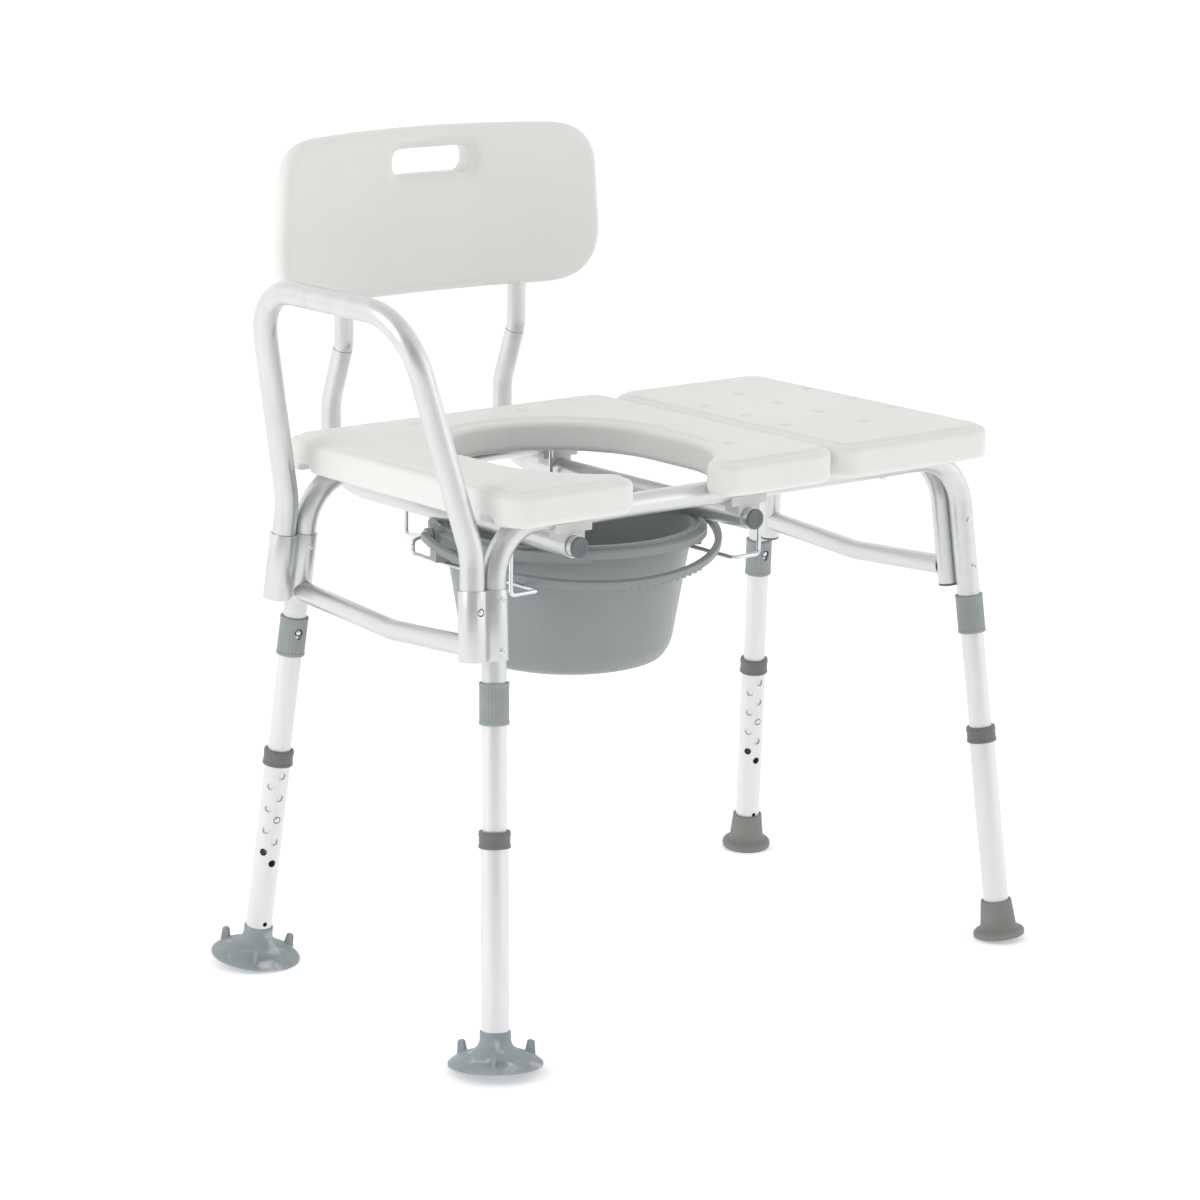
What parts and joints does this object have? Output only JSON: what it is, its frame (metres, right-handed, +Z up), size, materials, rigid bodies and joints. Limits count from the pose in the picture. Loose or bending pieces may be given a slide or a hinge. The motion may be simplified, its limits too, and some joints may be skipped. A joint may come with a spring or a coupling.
{
  "type": "commode transfer bench",
  "caption": "Bath transfer bench with a backrest, a side arm, a seat with a commode opening and pail, and height-adjustable splayed legs.",
  "frame": {"origin": "on the floor, at the middle of the bench's outline seen from above", "axes": "+Z up; +X along the seat towards the transfer end, away from the arm; +Y towards the backrest, so -Y is the front"},
  "size_m": [0.8132, 0.5358, 0.908],
  "materials": {
    "aluminium": "satin",
    "white_coat": "satin",
    "panel_plastic": "matt",
    "collar_plastic": "matt",
    "ring_plastic": "matt",
    "foot_rubber": "matt",
    "tip_rubber": "matt",
    "pail_plastic": "satin",
    "steel": "bright",
    "saddle_plastic": "matt",
    "plug_plastic": "matt"
  },
  "bodies": {
    "frame": {"front_rail": "aluminium", "rear_rail": "aluminium", "transfer_hoop": "aluminium", "hoop_plug_front": "plug_plastic", "hoop_plug_rear": "plug_plastic", "arm_bracket_front": "aluminium", "arm_bracket_rear": "aluminium", "cross_brace_arm_end": "aluminium", "cross_brace_transfer_end": "aluminium", "seat_panel_opening": "panel_plastic", "seat_panel_transfer": "panel_plastic", "back_sleeve_left": "aluminium", "back_sleeve_right": "aluminium", "saddle_front_left": "saddle_plastic", "saddle_front_right": "saddle_plastic", "saddle_rear_left": "saddle_plastic", "saddle_rear_right": "saddle_plastic", "cradle_wire_left": "steel", "cradle_wire_right": "steel", "collar_arm_front": "collar_plastic", "collar_arm_rear": "collar_plastic", "collar_transfer_front": "collar_plastic", "collar_transfer_rear": "collar_plastic"},
    "leg_arm_front": {"leg_tube_arm_front": "white_coat"},
    "collar_button_arm_front": {"collar_button_arm_front": "steel"},
    "height_button_arm_front": {"height_button_arm_front": "steel"},
    "extension_arm_front": {"extension_tube_arm_front": "white_coat", "grip_ring_arm_front": "ring_plastic", "suction_foot_arm_front": "foot_rubber"},
    "leg_arm_rear": {"leg_tube_arm_rear": "white_coat"},
    "collar_button_arm_rear": {"collar_button_arm_rear": "steel"},
    "height_button_arm_rear": {"height_button_arm_rear": "steel"},
    "extension_arm_rear": {"extension_tube_arm_rear": "white_coat", "grip_ring_arm_rear": "ring_plastic", "suction_foot_arm_rear": "foot_rubber"},
    "leg_transfer_front": {"leg_tube_transfer_front": "white_coat"},
    "collar_button_transfer_front": {"collar_button_transfer_front": "steel"},
    "height_button_transfer_front": {"height_button_transfer_front": "steel"},
    "extension_transfer_front": {"extension_tube_transfer_front": "white_coat", "grip_ring_transfer_front": "ring_plastic", "rubber_tip_transfer_front": "tip_rubber"},
    "leg_transfer_rear": {"leg_tube_transfer_rear": "white_coat"},
    "collar_button_transfer_rear": {"collar_button_transfer_rear": "steel"},
    "height_button_transfer_rear": {"height_button_transfer_rear": "steel"},
    "extension_transfer_rear": {"extension_tube_transfer_rear": "white_coat", "grip_ring_transfer_rear": "ring_plastic", "rubber_tip_transfer_rear": "tip_rubber"},
    "arm": {"arm_tube": "aluminium"},
    "arm_button_front": {"arm_button_front": "steel"},
    "arm_button_rear": {"arm_button_rear": "steel"},
    "backrest": {"backrest_panel": "panel_plastic", "back_tube_upper_left": "aluminium", "back_tube_upper_right": "aluminium", "back_tube_lower_left": "aluminium", "back_tube_lower_right": "aluminium", "back_tube_plug_left": "plug_plastic", "back_tube_plug_right": "plug_plastic"},
    "pail": {"pail": "pail_plastic"},
    "pail_handle": {"pail_handle": "pail_plastic"}
  },
  "joints": [
    {"name": "leg_pull_arm_front", "type": "slide", "parent": "frame", "child": "leg_arm_front", "axis": [-0.0675, -0.1049, -0.9922], "range_m": [0, 0.06], "deforming": ["collar_button_arm_front"]},
    {"name": "collar_button_press_arm_front", "type": "slide", "parent": "leg_arm_front", "child": "collar_button_arm_front", "axis": [-0.1318, -0.9848, 0.1131], "range_m": [0, 0.0042], "stiffness_N_per_m": 500, "springref_m": -0.004},
    {"name": "height_button_press_arm_front", "type": "slide", "parent": "leg_arm_front", "child": "height_button_arm_front", "axis": [-0.1318, -0.9848, 0.1131], "range_m": [0, 0.004], "stiffness_N_per_m": 500, "springref_m": -0.004},
    {"name": "leg_height_arm_front", "type": "slide", "parent": "leg_arm_front", "child": "extension_arm_front", "axis": [0.0675, 0.1049, 0.9922], "range_m": [-0.0508, 0.0508], "deforming": ["height_button_arm_front"]},
    {"name": "leg_pull_arm_rear", "type": "slide", "parent": "frame", "child": "leg_arm_rear", "axis": [-0.0675, 0.1049, -0.9922], "range_m": [0, 0.06], "deforming": ["collar_button_arm_rear"]},
    {"name": "collar_button_press_arm_rear", "type": "slide", "parent": "leg_arm_rear", "child": "collar_button_arm_rear", "axis": [0.1459, 0.9848, 0.0942], "range_m": [0, 0.0042], "stiffness_N_per_m": 500, "springref_m": -0.004},
    {"name": "height_button_press_arm_rear", "type": "slide", "parent": "leg_arm_rear", "child": "height_button_arm_rear", "axis": [0.1459, 0.9848, 0.0942], "range_m": [0, 0.004], "stiffness_N_per_m": 500, "springref_m": -0.004},
    {"name": "leg_height_arm_rear", "type": "slide", "parent": "leg_arm_rear", "child": "extension_arm_rear", "axis": [0.0675, -0.1049, 0.9922], "range_m": [-0.0508, 0.0508], "deforming": ["height_button_arm_rear"]},
    {"name": "leg_pull_transfer_front", "type": "slide", "parent": "frame", "child": "leg_transfer_front", "axis": [0.0675, -0.1049, -0.9922], "range_m": [0, 0.06], "deforming": ["collar_button_transfer_front"]},
    {"name": "collar_button_press_transfer_front", "type": "slide", "parent": "leg_transfer_front", "child": "collar_button_transfer_front", "axis": [-0.1459, -0.9848, 0.0942], "range_m": [0, 0.0042], "stiffness_N_per_m": 500, "springref_m": -0.004},
    {"name": "height_button_press_transfer_front", "type": "slide", "parent": "leg_transfer_front", "child": "height_button_transfer_front", "axis": [-0.1459, -0.9848, 0.0942], "range_m": [0, 0.004], "stiffness_N_per_m": 500, "springref_m": -0.004},
    {"name": "leg_height_transfer_front", "type": "slide", "parent": "leg_transfer_front", "child": "extension_transfer_front", "axis": [-0.0675, 0.1049, 0.9922], "range_m": [-0.0508, 0.0508], "deforming": ["height_button_transfer_front"]},
    {"name": "leg_pull_transfer_rear", "type": "slide", "parent": "frame", "child": "leg_transfer_rear", "axis": [0.0675, 0.1049, -0.9922], "range_m": [0, 0.06], "deforming": ["collar_button_transfer_rear"]},
    {"name": "collar_button_press_transfer_rear", "type": "slide", "parent": "leg_transfer_rear", "child": "collar_button_transfer_rear", "axis": [0.1318, 0.9848, 0.1131], "range_m": [0, 0.0042], "stiffness_N_per_m": 500, "springref_m": -0.004},
    {"name": "height_button_press_transfer_rear", "type": "slide", "parent": "leg_transfer_rear", "child": "height_button_transfer_rear", "axis": [0.1318, 0.9848, 0.1131], "range_m": [0, 0.004], "stiffness_N_per_m": 500, "springref_m": -0.004},
    {"name": "leg_height_transfer_rear", "type": "slide", "parent": "leg_transfer_rear", "child": "extension_transfer_rear", "axis": [-0.0675, -0.1049, 0.9922], "range_m": [-0.0508, 0.0508], "deforming": ["height_button_transfer_rear"]},
    {"name": "arm_lift", "type": "slide", "parent": "frame", "child": "arm", "axis": [0.0678, 0, 0.9977], "range_m": [0, 0.09], "deforming": ["arm_tube", "arm_button_front", "arm_button_rear"]},
    {"name": "arm_button_press_front", "type": "slide", "parent": "arm", "child": "arm_button_front", "axis": [-0.0071, 0.9945, -0.1046], "range_m": [0, 0.004], "stiffness_N_per_m": 500, "springref_m": -0.004},
    {"name": "arm_button_press_rear", "type": "slide", "parent": "arm", "child": "arm_button_rear", "axis": [-0.0071, -0.9945, -0.1046], "range_m": [0, 0.004], "stiffness_N_per_m": 500, "springref_m": -0.004},
    {"name": "backrest_slide", "type": "slide", "parent": "frame", "child": "backrest", "axis": [0, 1, 0], "range_m": [0, 0.38]},
    {"name": "pail_slide", "type": "slide", "parent": "frame", "child": "pail", "axis": [0, -1, 0], "range_m": [0, 0.09]},
    {"name": "pail_handle_swing", "type": "hinge", "parent": "pail", "child": "pail_handle", "pos_m": [-0.09456, -0.01518, 0.502], "axis": [-0.9511, 0.309, 0], "range_deg": [0, 12]}
  ]
}
